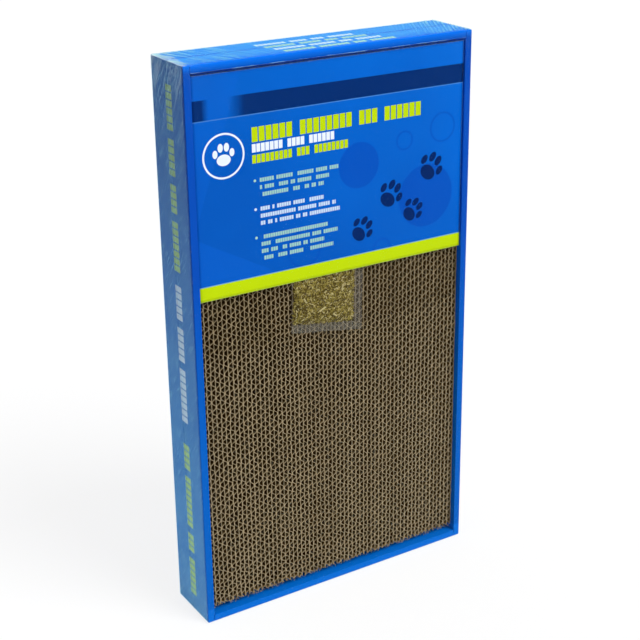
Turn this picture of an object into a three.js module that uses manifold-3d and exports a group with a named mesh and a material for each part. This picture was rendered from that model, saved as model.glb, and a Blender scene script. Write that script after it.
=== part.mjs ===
// A corrugated-board cat scratcher in its retail packing, standing on its short end.
// A printed tray holds a pad of upright strips. A header card and a sachet of catnip
// lie on the pad, and two webs of shrink film close round everything.
// Millimetres, +Z up, face towards -Y, origin at the bottom centre of the pack.

import * as THREE from 'three';
import { mergeVertices } from 'three/addons/utils/BufferGeometryUtils.js';
import Module from 'manifold-3d';

const wasm = await Module();
wasm.setup();

// Tray: one folded blank of printed paperboard
const trayWidth = 261;
const trayLength = 469;
const trayDepth = 53;
const boardThickness = 0.8;
const wallThickness = 6;
const foldRadius = 1.2;
const tuckGap = 0.4;
const rimSeamWidth = 0.4;
const glueTabLength = 42;

// Shrink film
const filmThickness = 0.3;
const filmClearance = 0.3;
const filmSealGap = 0.3;

// Scratch pad: strips of single-wall board on edge, two to a node
const stripPitch = 4;
const stripsPerPair = 2;
const glueLine = 0.3;
const layerGrooveDepth = 0.8;
const padRecess = 5;
const padBackClearance = 0.3;
const padBottomGap = 4.2;
const padTopGap = 1.5;
const stripEndWander = 0.9;

// Header card
const cardHeight = 176;
const cardThickness = 0.5;
const cardRecess = 2;
const cardTopGap = 2.5;
const cardSideClearance = 0.4;

// Catnip sachet: a tube of film, folded at its left and sealed at its right and both ends
const sachetWidth = 68;
const sachetHeight = 96;
const sachetTilt = THREE.MathUtils.degToRad(-1.5);
const sachetBottomSkew = 9;
const sachetOffsetX = -8.5;
const sachetShowing = 50;
const sachetFilmThickness = 0.2;
const sachetGap = 0.2;
const leftFoldWidth = 1.5;
const rightSealWidth = 8;
const endSealWidth = 7.5;
const herbSwell = 3;
const herbSwellUnderCard = 1;
const herbPeakHeight = 26;
const cardLiftHeight = 44;
const herbShoulder = 16;
const herbLeastThickness = 0.2;
const pocketMargin = 1.5;
const pocketColumns = 12;
const pocketRows = 16;

// Levels worked out from the sizes above
const filmOffset = filmThickness + filmClearance;
const trayBottom = filmOffset;
const trayTop = trayBottom + trayLength;
const trayFront = -trayDepth / 2;
const trayBack = trayDepth / 2;
const wellWidth = trayWidth - 2 * wallThickness;
const wellBottom = trayBottom + wallThickness;
const wellTop = trayTop - wallThickness;
const trayFloor = trayBack - boardThickness;
const padFront = trayFront + padRecess;
const padBack = trayFloor - padBackClearance;
const padBottom = wellBottom + padBottomGap;
const padTop = wellTop - padTopGap;
const pairPitch = stripPitch * stripsPerPair;
const pairCount = Math.floor(wellWidth / pairPitch);
const cardFront = trayFront + cardRecess;
const cardTop = wellTop - cardTopGap;
const cardBottom = cardTop - cardHeight;

const material = (color, roughness, opacity = 1) =>
  new THREE.MeshStandardMaterial({
    color,
    roughness,
    metalness: 0,
    transparent: opacity < 1,
    opacity,
  });

const printedBoard = material(0x0f5fcd, 0.45);
const kraftBoard = material(0x8c7a5e, 0.9);
const printedCard = material(0x005fd7, 0.35);
const clearFilm = material(0xe8f2ff, 0.1, 0.2);
const driedHerb = material(0x7f7a45, 0.95);

function toSolid(geometry) {
  const bare = geometry.index ? geometry.toNonIndexed() : geometry.clone();
  bare.deleteAttribute('normal');
  bare.deleteAttribute('uv');
  const merged = mergeVertices(bare, 1e-4);
  const mesh = new wasm.Mesh({
    numProp: 3,
    vertProperties: new Float32Array(merged.attributes.position.array),
    triVerts: new Uint32Array(merged.index.array),
  });
  return new wasm.Manifold(mesh);
}

function toGeometry(solid) {
  const mesh = solid.getMesh();
  const geometry = new THREE.BufferGeometry();
  geometry.setAttribute('position', new THREE.BufferAttribute(mesh.vertProperties, 3));
  geometry.setIndex(new THREE.BufferAttribute(mesh.triVerts, 1));
  geometry.computeVertexNormals();
  return geometry;
}

function roundedRectangle(width, height, radius) {
  const x = width / 2;
  const y = height / 2;
  const shape = new THREE.Shape();
  shape.moveTo(-x + radius, -y);
  shape.absarc(x - radius, -y + radius, radius, -Math.PI / 2, 0);
  shape.absarc(x - radius, y - radius, radius, 0, Math.PI / 2);
  shape.absarc(-x + radius, y - radius, radius, Math.PI / 2, Math.PI);
  shape.absarc(-x + radius, -y + radius, radius, Math.PI, 1.5 * Math.PI);
  return shape;
}

// A rounded slab that faces the front, from one depth to another, centred on the tray
function frontSlab(width, height, radius, fromY, toY, bevel = 0) {
  const geometry = new THREE.ExtrudeGeometry(roundedRectangle(width, height, radius), {
    depth: toY - fromY - 2 * bevel,
    curveSegments: 3,
    bevelEnabled: bevel > 0,
    bevelThickness: bevel,
    bevelSize: bevel,
    bevelOffset: -bevel,
    bevelSegments: 2,
  });
  geometry.translate(0, 0, -toY + bevel);
  geometry.rotateX(Math.PI / 2);
  geometry.translate(0, 0, (trayBottom + trayTop) / 2);
  return toSolid(geometry);
}

function block(minX, maxX, minY, maxY, minZ, maxZ) {
  const geometry = new THREE.BoxGeometry(maxX - minX, maxY - minY, maxZ - minZ);
  geometry.translate((minX + maxX) / 2, (minY + maxY) / 2, (minZ + maxZ) / 2);
  return toSolid(geometry);
}

const pack = new THREE.Group();
const trayGroup = new THREE.Group();
const padGroup = new THREE.Group();
const sachetGroup = new THREE.Group();
const filmGroup = new THREE.Group();
pack.add(trayGroup, padGroup, sachetGroup, filmGroup);

function addPiece(group, name, geometry, itsMaterial) {
  const mesh = new THREE.Mesh(geometry, itsMaterial);
  mesh.name = name;
  group.add(mesh);
}

// The blank folds up round its base, over the rim and down to a free edge inside
function makeTray() {
  const innerPanel = wallThickness - boardThickness;
  const hollowRadius = foldRadius / 2;
  const slab = (inset, radius, fromY, toY) =>
    frontSlab(trayWidth - 2 * inset, trayLength - 2 * inset, radius, fromY, toY);
  const rimBack = trayFront + boardThickness;
  const outside = frontSlab(trayWidth, trayLength, foldRadius, trayFront, trayBack, foldRadius / 2);
  const well = slab(wallThickness, hollowRadius, trayFront - foldRadius, trayFloor);
  const wallHollow = slab(boardThickness, hollowRadius, rimBack, trayFloor)
    .subtract(slab(innerPanel, hollowRadius, rimBack, trayFloor));
  const tuckSlit = slab(innerPanel, hollowRadius, trayFloor - tuckGap, trayFloor);
  let tray = outside.subtract(well).subtract(wallHollow).subtract(tuckSlit);

  const seamX = trayWidth / 2 - wallThickness;
  const tabOuterX = trayWidth / 2 - boardThickness / 2;
  for (const side of [-1, 1]) {
    for (const end of [-1, 1]) {
      const outerZ = end < 0 ? trayBottom : trayTop;
      const zAt = (distance) => outerZ - end * distance;
      const between = (a, b) => [Math.min(a, b), Math.max(a, b)];
      const seam = block(
        ...between(side * seamX, side * (seamX + rimSeamWidth)),
        trayFront - foldRadius, rimBack + tuckGap,
        ...between(zAt(boardThickness), zAt(wallThickness + foldRadius)),
      );
      const glueTab = block(
        ...between(side * tabOuterX, side * (tabOuterX - glueTabLength)),
        rimBack + foldRadius, trayFloor - foldRadius,
        ...between(zAt(boardThickness / 2), zAt(2 * boardThickness)),
      );
      tray = tray.subtract(seam).add(glueTab);
    }
  }
  addPiece(trayGroup, 'tray', toGeometry(tray), printedBoard);
}

// Strip ends are sheared, so neighbours differ a little in length
function endWander(index, phase) {
  return stripEndWander * 0.5 * (1 + Math.sin(2.4 * index + phase) * Math.cos(1.1 * index));
}

// Two strips side by side, with the joint between them showing as a groove front and back
function makeStripPair(index) {
  const halfWidth = (pairPitch - glueLine) / 2;
  const groove = glueLine / 2;
  const outline = new THREE.Shape([
    new THREE.Vector2(-halfWidth, padFront),
    new THREE.Vector2(-groove, padFront),
    new THREE.Vector2(-groove, padFront + layerGrooveDepth),
    new THREE.Vector2(groove, padFront + layerGrooveDepth),
    new THREE.Vector2(groove, padFront),
    new THREE.Vector2(halfWidth, padFront),
    new THREE.Vector2(halfWidth, padBack),
    new THREE.Vector2(groove, padBack),
    new THREE.Vector2(groove, padBack - layerGrooveDepth),
    new THREE.Vector2(-groove, padBack - layerGrooveDepth),
    new THREE.Vector2(-groove, padBack),
    new THREE.Vector2(-halfWidth, padBack),
  ]);
  const bottom = padBottom + endWander(index, 0);
  const top = padTop - endWander(index, 2);
  const geometry = new THREE.ExtrudeGeometry(outline, { depth: top - bottom, bevelEnabled: false });
  geometry.translate((index - (pairCount - 1) / 2) * pairPitch, 0, bottom);
  const name = `strip_pair_${String(index + 1).padStart(2, '0')}`;
  addPiece(padGroup, name, geometry, kraftBoard);
}

function makeHeaderCard() {
  const width = wellWidth - 2 * cardSideClearance;
  const geometry = new THREE.BoxGeometry(width, cardThickness, cardHeight);
  geometry.translate(0, cardFront + cardThickness / 2, (cardTop + cardBottom) / 2);
  addPiece(pack, 'header_card', geometry, printedCard);
}

// A closed sheet over a grid of given u and v: place(u, v) gives x and z, front(u, v) and
// back(u, v) give y
function sheetSolid(us, vs, place, front, back) {
  const positions = [];
  const indices = [];
  const columns = us.length - 1;
  const rows = vs.length - 1;
  const stride = us.length;
  const layer = us.length * vs.length;
  for (const depthAt of [front, back]) {
    for (const v of vs) {
      for (const u of us) {
        const spot = place(u, v);
        positions.push(spot.x, depthAt(u, v), spot.y);
      }
    }
  }
  const quad = (a, b, c, d) => indices.push(a, b, c, a, c, d);
  for (let row = 0; row < rows; row += 1) {
    for (let column = 0; column < columns; column += 1) {
      const a = row * stride + column;
      quad(a, a + 1, a + stride + 1, a + stride);
      quad(layer + a, layer + a + stride, layer + a + stride + 1, layer + a + 1);
    }
  }
  for (let column = 0; column < columns; column += 1) {
    const low = column;
    const high = rows * stride + column;
    quad(low, layer + low, layer + low + 1, low + 1);
    quad(high, high + 1, layer + high + 1, layer + high);
  }
  for (let row = 0; row < rows; row += 1) {
    const left = row * stride;
    const right = left + columns;
    quad(left, left + stride, layer + left + stride, layer + left);
    quad(right, layer + right, layer + right + stride, right + stride);
  }
  const geometry = new THREE.BufferGeometry();
  geometry.setAttribute('position', new THREE.Float32BufferAttribute(positions, 3));
  geometry.setIndex(indices);
  geometry.computeVertexNormals();
  return geometry;
}

// The sachet's outline: tilted a little, and its bottom seal cut askew
function sachetSpot(u, v) {
  const x = (u - 0.5) * sachetWidth;
  const z = v * sachetHeight - sachetBottomSkew * (u - 0.5) * (1 - v);
  const spot = new THREE.Vector2(x, z);
  spot.rotateAround(new THREE.Vector2(0, 0), sachetTilt);
  return spot.add(new THREE.Vector2(sachetOffsetX, cardBottom - sachetShowing));
}

// Grid lines across the pocket between two seals, as shares of the sachet's size
function pocketLines(size, lowSeal, highSeal, steps) {
  const first = (lowSeal + pocketMargin) / size;
  const last = 1 - (highSeal + pocketMargin) / size;
  return Array.from({ length: steps + 1 }, (_, i) => THREE.MathUtils.lerp(first, last, i / steps));
}

// How far the herb swells the pocket: a heap above the bottom seal, thin under the card
function swell(u, v) {
  const fromLeft = u * sachetWidth - leftFoldWidth;
  const fromRight = (1 - u) * sachetWidth - rightSealWidth;
  const fromSide = Math.min(fromLeft, fromRight);
  const fromEnd = v * sachetHeight - endSealWidth;
  const fromTop = (1 - v) * sachetHeight - endSealWidth;
  if (Math.min(fromSide, fromEnd, fromTop) < pocketMargin / 2) {
    return 0;
  }
  const quarterTurn = (share) => Math.sin((Math.PI / 2) * Math.min(1, share));
  const across = quarterTurn(fromSide / herbShoulder);
  const rise = quarterTurn(fromEnd / herbShoulder);
  const settle = THREE.MathUtils.smoothstep(v * sachetHeight, herbPeakHeight, cardLiftHeight);
  const height = THREE.MathUtils.lerp(herbSwell, herbSwellUnderCard, settle);
  const closing = quarterTurn(fromTop / herbShoulder);
  return sachetGap + herbLeastThickness + height * across * rise * closing;
}

function makeSachet() {
  const backFilmBack = padFront - sachetGap;
  const backFilmFront = backFilmBack - sachetFilmThickness;
  const herbBack = backFilmFront - sachetGap;
  const pocketUs = pocketLines(sachetWidth, leftFoldWidth, rightSealWidth, pocketColumns);
  const pocketVs = pocketLines(sachetHeight, endSealWidth, endSealWidth, pocketRows);
  const leftFold = leftFoldWidth / sachetWidth;
  const rightSeal = rightSealWidth / sachetWidth;
  const endSeal = endSealWidth / sachetHeight;
  const filmUs = [0, leftFold, ...pocketUs, 1 - rightSeal, 1];
  const filmVs = [0, endSeal, ...pocketVs, 1 - endSeal, 1];

  const backFilm = sheetSolid([0, 1], [0, 1], sachetSpot, () => backFilmFront, () => backFilmBack);
  addPiece(sachetGroup, 'sachet_back_film', backFilm, clearFilm);

  const frontFilmBack = (u, v) => herbBack - swell(u, v);
  const frontFilmFront = (u, v) => frontFilmBack(u, v) - sachetFilmThickness;
  const frontFilm = sheetSolid(filmUs, filmVs, sachetSpot, frontFilmFront, frontFilmBack);
  addPiece(sachetGroup, 'sachet_front_film', frontFilm, clearFilm);

  const herbFront = (u, v) => frontFilmBack(u, v) + sachetGap;
  const herb = sheetSolid(pocketUs, pocketVs, sachetSpot, herbFront, () => herbBack);
  addPiece(sachetGroup, 'catnip_fill', herb, driedHerb);
}

// Each web of film covers one face of the pack and half of its four sides
function makeFilm() {
  const outset = filmOffset;
  const outerFront = trayFront - outset;
  const outerBack = trayBack + outset;
  const web = (extra, fromY, toY) => frontSlab(
    trayWidth + 2 * extra, trayLength + 2 * extra, foldRadius + extra, fromY, toY);
  const sealFront = -filmSealGap / 2;
  const sealBack = filmSealGap / 2;
  const frontWeb = web(outset, outerFront, sealFront)
    .subtract(web(filmClearance, outerFront + filmThickness, sealFront + filmThickness));
  const backWeb = web(outset, sealBack, outerBack)
    .subtract(web(filmClearance, sealBack - filmThickness, outerBack - filmThickness));
  addPiece(filmGroup, 'shrink_film_front', toGeometry(frontWeb), clearFilm);
  addPiece(filmGroup, 'shrink_film_back', toGeometry(backWeb), clearFilm);
}

makeTray();
for (let index = 0; index < pairCount; index += 1) {
  makeStripPair(index);
}
makeHeaderCard();
makeSachet();
makeFilm();

export default pack;
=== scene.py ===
# %% [markdown]
# # A corrugated cat scratcher in its shrink film
#
# The real object is a pad of corrugated board strips, glued side by side and laid in a
# shallow tray of printed paperboard. A header card and a clear sachet of dried catnip
# lie on the pad, and shrink film closes round everything.
#
# The solids come from a CAD model. It is loaded first and is never moved. This lesson
# prints the tray, and builds finer pieces over the plain solids of the pad, the card,
# the sachet and the film.

# %% Load the model that everything is fitted to
import math
from functools import reduce

import bmesh
import bpy
import numpy as np
from mathutils import Matrix, Vector, noise


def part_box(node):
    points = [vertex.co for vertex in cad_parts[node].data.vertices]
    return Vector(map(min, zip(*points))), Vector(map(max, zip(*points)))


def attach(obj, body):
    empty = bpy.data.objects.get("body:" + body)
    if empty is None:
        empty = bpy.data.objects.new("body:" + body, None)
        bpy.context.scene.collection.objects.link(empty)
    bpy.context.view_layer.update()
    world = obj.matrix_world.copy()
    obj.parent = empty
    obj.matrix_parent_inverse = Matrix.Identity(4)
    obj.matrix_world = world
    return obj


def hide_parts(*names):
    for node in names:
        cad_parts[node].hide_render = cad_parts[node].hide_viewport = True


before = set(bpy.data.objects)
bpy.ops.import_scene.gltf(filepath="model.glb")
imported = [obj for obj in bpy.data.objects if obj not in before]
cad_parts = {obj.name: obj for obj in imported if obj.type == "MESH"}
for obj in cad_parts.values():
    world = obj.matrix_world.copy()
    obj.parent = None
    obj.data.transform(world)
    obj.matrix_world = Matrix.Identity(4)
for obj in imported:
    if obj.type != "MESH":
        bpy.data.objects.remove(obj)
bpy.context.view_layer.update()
scene = bpy.context.scene
MM = 0.001


def box_mm(*names):
    """The lowest and highest corners round some CAD nodes, in millimetres."""
    corners = np.array([[list(corner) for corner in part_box(name)] for name in names]) / MM
    return corners[:, 0].min(axis=0), corners[:, 1].max(axis=0)


def new_object(name, data):
    """An object in the scene."""
    made = bpy.data.objects.new(name, data)
    scene.collection.objects.link(made)
    return made


strip_nodes = sorted(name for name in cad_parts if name.startswith("strip_pair"))
tray_low, tray_high = box_mm("tray")
pad_low, pad_high = box_mm(*strip_nodes)
card_low, card_high = box_mm("header_card")
half_width, half_depth, tray_top = tray_high.tolist()
half_pad, pad_back, pad_top = pad_high.tolist()
pad_front, pad_foot = pad_low[1:].tolist()
tray_foot = float(tray_low[2])
card_left, card_front, foot = card_low.tolist()
card_right, card_back, card_top = card_high.tolist()
print("tray", tray_low.round(1), tray_high.round(1))
print("pad", pad_low.round(1), pad_high.round(1), "from", len(strip_nodes), "pairs of strips")

# %% [markdown]
# ## The camera
#
# A tall box tells a camera's place through its edges: where they meet, and how fast they
# close in. The place below was worked out from the box's corners in a square picture.
# The lens axis meets that picture a little off its middle, which a small shift gives.

# %% Stand the camera where the picture was taken
PICTURE_PIXELS = 640
FOCAL_PIXELS = 1393
LENS_AXIS_PIXEL = (352, 285)
SENSOR_MM = 36
LOOK_DOWN, LOOK_RIGHT, LOOK_ROLL = 20.68, 32.99, 0.22

camera_data = bpy.data.cameras.new("camera")
camera_data.sensor_width = SENSOR_MM
camera_data.lens = FOCAL_PIXELS / PICTURE_PIXELS * SENSOR_MM
camera_data.shift_x = 0.5 - LENS_AXIS_PIXEL[0] / PICTURE_PIXELS
camera_data.shift_y = LENS_AXIS_PIXEL[1] / PICTURE_PIXELS - 0.5
camera = new_object("camera", camera_data)
camera.location = (-0.566, -0.922, 0.675)
camera.rotation_euler = [math.radians(a) for a in (90 - LOOK_DOWN, LOOK_ROLL, -LOOK_RIGHT)]
scene.camera = camera
print("lens", round(camera_data.lens, 1), "mm")

# %% [markdown]
# ## Node maths written as Python
#
# Ink, board and film are made by nodes, and most of that is arithmetic. A small class
# holds one output of a node and takes part in Python sums, so that `1 - mask` adds the
# Math node it needs. Every other node comes from one method of a bench, which takes its
# kind, the values of its sockets and its settings.


# %% A wire that can be added, scaled and compared
def plug(tree, socket, value):
    """Links a wire to a socket, or sets the socket to a plain value."""
    if isinstance(value, Wire):
        tree.links.new(value.socket, socket)
    else:
        socket.default_value = value


class Wire:
    """One output of a node, which takes part in Python sums."""

    def __init__(self, tree, socket):
        self.tree = tree
        self.socket = socket

    def maths(self, operation, *values, clamp=False):
        node = self.tree.nodes.new("ShaderNodeMath")
        node.operation = operation
        node.use_clamp = clamp
        for socket, value in zip(node.inputs, values):
            plug(self.tree, socket, value)
        return Wire(self.tree, node.outputs[0])

    def least(self, other):
        return self.maths("MINIMUM", self, other)

    def most(self, other):
        return self.maths("MAXIMUM", self, other)

    def clamp(self):
        return self.maths("ADD", self, 0.0, clamp=True)

    def apply(self, operation):
        return self.maths(operation, self)

    def __abs__(self):
        return self.maths("ABSOLUTE", self)


def add_operator(name, operation):
    """Gives Wire one Python operator, also where the wire stands on its right."""
    setattr(Wire, f"__{name}__", lambda self, other: self.maths(operation, self, other))
    setattr(Wire, f"__r{name}__", lambda self, other: self.maths(operation, other, self))


for name, operation in (("add", "ADD"), ("sub", "SUBTRACT"), ("mul", "MULTIPLY"),
                        ("truediv", "DIVIDE"), ("pow", "POWER"),
                        ("lt", "LESS_THAN"), ("gt", "GREATER_THAN")):
    add_operator(name, operation)


# %% A bench that puts any node on a tree
class Bench:
    """A node tree and the methods that put nodes on it."""

    def __init__(self, tree):
        self.tree = tree

    def node(self, kind, values=None, output=0, **settings):
        made = self.tree.nodes.new(kind)
        for name, value in settings.items():
            setattr(made, name, value)
        for key, value in (values or {}).items():
            plug(self.tree, made.inputs[key], value)
        return Wire(self.tree, made.outputs[output]) if made.outputs else None

    def vector(self, operation, *values, output=0):
        return self.node("ShaderNodeVectorMath", dict(enumerate(values)), output, operation=operation)

    def pack(self, x=0.0, y=0.0, z=0.0):
        return self.node("ShaderNodeCombineXYZ", {0: x, 1: y, 2: z})

    def split(self, vector):
        first = self.node("ShaderNodeSeparateXYZ", {0: vector})
        return [Wire(self.tree, socket) for socket in first.socket.node.outputs]

    def mix(self, factor, first, second):
        return self.node("ShaderNodeMix", {0: factor, 6: first, 7: second}, 2, data_type="RGBA")

    def noise(self, where, scale=1.0, detail=2.0, roughness=0.5, output=0):
        return self.node("ShaderNodeTexNoise", {
            "Vector": where, "Scale": scale, "Detail": detail, "Roughness": roughness,
        }, output)

    def chance(self, *numbers):
        """A number from 0 to 1 that depends only on the numbers given."""
        return self.node("ShaderNodeTexWhiteNoise", {"Vector": self.pack(*numbers)})

    def attribute(self, name):
        return self.node("ShaderNodeAttribute", output="Fac", attribute_name=name)

    def ramp(self, factor, *stops):
        """A colour ramp with its stops, each a position and a colour."""
        made = self.node("ShaderNodeValToRGB", {"Fac": factor})
        elements = made.socket.node.color_ramp.elements
        elements.remove(elements[1])
        elements[0].position, elements[0].color = stops[0]
        for position, colour in stops[1:]:
            elements.new(position).color = colour
        return made

    def move(self, geometry, position, offset=(0.0, 0.0, 0.0)):
        values = {"Geometry": geometry, "Position": position, "Offset": offset}
        return self.node("GeometryNodeSetPosition", values)

    def store(self, geometry, name, value, domain="POINT"):
        """Stores a number on the points, or on the copies, of a geometry."""
        values = {"Geometry": geometry, "Name": name, "Value": value}
        return self.node("GeometryNodeStoreNamedAttribute", values, data_type="FLOAT", domain=domain)

    def copy_to(self, points, thing, **more):
        return self.node("GeometryNodeInstanceOnPoints", {"Points": points, "Instance": thing, **more})


# %% [markdown]
# ## Materials
#
# A colour is easiest to choose as it looks on a screen, and shaders want it linear, so
# one function converts it. Each material starts from an empty tree and reads the piece's
# own coordinates in millimetres, so that its sizes are those of the real thing.


# %% Colours and an empty material
def screen(red, green, blue):
    """A linear colour from the three numbers it has on a screen, 0 to 255."""
    def linear(level):
        share = level / 255
        return share / 12.92 if share <= 0.04045 else ((share + 0.055) / 1.055) ** 2.4
    return (linear(red), linear(green), linear(blue), 1.0)


def new_material(name):
    """An empty material, its bench, and the wires of its place in millimetres."""
    material = bpy.data.materials.new(name)
    material.use_nodes = True
    material.node_tree.nodes.clear()
    bench = Bench(material.node_tree)
    metres = bench.node("ShaderNodeTexCoord", output="Object")
    place = bench.node("ShaderNodeVectorMath", {0: metres, "Scale": 1 / MM}, operation="SCALE")
    return material, bench, place


def bump(bench, height, strength, distance_mm=0.2):
    """A normal that follows a height."""
    values = {"Strength": strength, "Distance": distance_mm * MM, "Height": height}
    return bench.node("ShaderNodeBump", values)


def surface(bench, **sockets):
    """A Principled shader: each socket's name has underscores for its spaces."""
    values = {name.replace("_", " "): value for name, value in sockets.items()}
    return bench.node("ShaderNodeBsdfPrincipled", values)


def finish_material(bench, shader):
    """Ends a material with its shader."""
    bench.node("ShaderNodeOutputMaterial", {"Surface": shader})
    print("a finish of", len(bench.tree.nodes), "nodes")


def seen_directly(bench):
    """1 for what the camera, a mirror or a clear film sees, and 0 for all other light."""
    seen = bench.node("ShaderNodeLightPath", output="Is Camera Ray")
    path = seen.socket.node.outputs
    for name in ("Is Glossy Ray", "Is Transmission Ray"):
        seen = seen.most(Wire(bench.tree, path[name]))
    return seen


# %% [markdown]
# ## Light and floor
#
# The picture has plain soft light from above and from the right: the inside of the right
# wall is dark, and the ledge at the bottom is bright. A wide sun gives that light with
# soft shadows, a second one lifts the floor, and a grey sky fills the rest. What the
# camera, a mirror or a clear film sees of the sky is plain white.

# %% Two suns and a sky
def add_sun(name, right_of_front, elevation, strength, spread):
    """A sun that stands so many degrees right of the front, and above the horizon."""
    data = bpy.data.lights.new(name, "SUN")
    data.energy = strength
    data.angle = math.radians(spread)
    turns = (math.radians(90 - elevation), 0.0, math.radians(right_of_front))
    new_object(name, data).rotation_euler = turns


add_sun("key sun", right_of_front=28, elevation=48, strength=2.2, spread=30)
add_sun("top sun", right_of_front=-60, elevation=78, strength=0.6, spread=70)

SKY_LIGHT = 0.34
PLAIN_WHITE = (1.0, 1.0, 1.0, 1.0)
PLAIN_BLACK = (0.0, 0.0, 0.0, 1.0)
world = bpy.data.worlds.new("sky")
world.use_nodes = True
world.node_tree.nodes.clear()
sky = Bench(world.node_tree)
level = seen_directly(sky) * (1.0 - SKY_LIGHT) + SKY_LIGHT
background = sky.node("ShaderNodeBackground", {"Color": PLAIN_WHITE, "Strength": level})
sky.node("ShaderNodeOutputWorld", {"Surface": background})
scene.world = world
scene.view_settings.view_transform = "Standard"
# light crosses up to eight sheets of film on its way in, and as many on its way out
scene.cycles.transparent_max_bounces = 32
print("two suns, and a sky of", SKY_LIGHT)

# %% A floor of matt white board
FLOOR_RADIUS = 9.0
FLOOR_DROP = 0.0003
FLOOR_SHADE = 0.2

material, bench, place = new_material("matt white board")
grain = bench.noise(place, 0.4, 3.0)
white = bench.mix(grain, screen(250, 250, 250), screen(255, 255, 255))
glow = seen_directly(bench) * (1 - FLOOR_SHADE)
finish_material(bench, surface(
    bench,
    Base_Color=bench.mix(glow, white, PLAIN_BLACK),
    Emission_Color=bench.mix(glow, PLAIN_BLACK, PLAIN_WHITE),
    Emission_Strength=1.0,
    Roughness=0.9,
    Specular_IOR_Level=0.1,
    Normal=bump(bench, grain, 0.05),
))
ring = bmesh.new()
bmesh.ops.create_circle(ring, cap_ends=True, segments=96, radius=FLOOR_RADIUS)
floor_mesh = bpy.data.meshes.new("floor")
ring.to_mesh(floor_mesh)
ring.free()
floor_mesh.transform(Matrix.Translation((0, 0, -FLOOR_DROP)))
floor_mesh.materials.append(material)
new_object("floor", floor_mesh)

# %% [markdown]
# ## Shapes for the print
#
# Print is a set of masks: 1 where the ink lies, 0 elsewhere, with an edge as soft as a
# printing screen leaves it. A bar is the smallest of four distances. Greeked text, which
# a designer puts in before the words are known, is a row of plain blocks in groups as
# long as words.

# %% Bars, discs and rows of words
INK_EDGE = 0.22


def edge(distance):
    """Turns a distance inside a shape into a mask."""
    return (distance / INK_EDGE + 0.5).clamp()


def within(place, low, high):
    """The distance to the nearer of two limits, more than 0 between them."""
    return (place - low).least(high - place)


def bar(u, v, left, right, low, high):
    return edge(within(u, left, right).least(within(v, low, high)))


def from_point(u, v, spot, size=(1.0, 1.0), turn=0.0):
    """The distance from a point, measured in the half sizes of an ellipse."""
    c, s = math.cos(turn), math.sin(turn)
    along = ((u - spot[0]) * c + (v - spot[1]) * s) / size[0]
    across = ((v - spot[1]) * c - (u - spot[0]) * s) / size[1]
    return (along * along + across * across).apply("SQRT")


def disc(u, v, spot, radius):
    return edge(radius - from_point(u, v, spot))


def circle_line(u, v, spot, radius, width):
    return edge(width / 2 - abs(from_point(u, v, spot) - radius))


def words(u, v, left, low, high, letter, lengths):
    """A row of greeked words: one plain block for each letter, and gaps between words."""
    place = (u - left) / letter
    index = place.apply("FLOOR")
    share = place.apply("FRACT")
    right = left + letter * (sum(lengths) + len(lengths) - 1)
    blocks = bar(share * letter, v, letter * 0.06, letter * 0.9, low, high)
    gap = -1
    for length in lengths[:-1]:
        gap += length + 1
        blocks = blocks * (abs(index - gap) > 0.5)
    return blocks * edge(within(u, left, right))


PAW = (((0.0, -0.3), (0.56, 0.42)), ((-0.68, 0.2), (0.2, 0.3)), ((-0.25, 0.62), (0.21, 0.32)),
       ((0.25, 0.62), (0.21, 0.32)), ((0.68, 0.2), (0.2, 0.3)))


def paw(u, v, spot, size, turn):
    """A plain paw print: a pad and four toes."""
    c, s = math.cos(turn), math.sin(turn)
    distances = []
    for (cu, cv), half in PAW:
        there = (spot[0] + size * (cu * c - cv * s), spot[1] + size * (cu * s + cv * c))
        sizes = (half[0] * size, half[1] * size)
        distances.append(from_point(u, v, there, sizes, turn))
    return edge((1 - reduce(Wire.least, distances)) * size * 0.3)


# %% [markdown]
# ## The tray's print
#
# The tray is one die-cut sheet of clay-coated board, printed blue outside and folded.
# Its shape in the CAD model is right, so it stays and only gets a finish. Along the
# folds the coating cracks and the pale board shows. The two long sides and the top carry
# rows of words in lime and white, and the inside of the base is bare grey board. Light
# is painted in as well: a lighter blue on the top and on the ledge at the foot, and
# painted shade on the long sides that deepens upwards.

# %% Printed tray board
LIME = screen(193, 219, 5)
WHITE_INK = screen(238, 244, 250)
PALE_BOARD = screen(196, 208, 220)
GREY_BOARD = screen(150, 146, 136)
TRAY_BLUE = screen(0, 72, 174)
TRAY_BLUE_LIGHT = screen(0, 82, 188)
TRAY_BLUE_LOW = screen(0, 95, 188)
LIT_LEDGE_BLUE = screen(0, 108, 206)
LIT_TOP_BLUE = screen(0, 120, 240)
SIDE_SHADE_BLUE = screen(0, 30, 84)
TOP_GREEN = screen(190, 232, 190)
WALL = 6.0
SIDE_LETTER = 5.9
SIDE_ROWS = ((305.0, (7, 4, 5, 6), LIME), (176.0, (8, 5, 5), WHITE_INK), (15.0, (6, 3, 8, 4), LIME))
TOP_LETTER = 3.9
TOP_ROW_PITCH = 10.0

material, bench, place = new_material("printed tray board")
x, y, z = bench.split(place)
cloud = bench.noise(place, 0.025, 3.0)
fine = bench.noise(place, 1.6, 3.0, 0.6)
colour = bench.mix(cloud, TRAY_BLUE, TRAY_BLUE_LIGHT)
colour = bench.mix(((300.0 - z) / 140.0).clamp(), colour, TRAY_BLUE_LOW)

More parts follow.
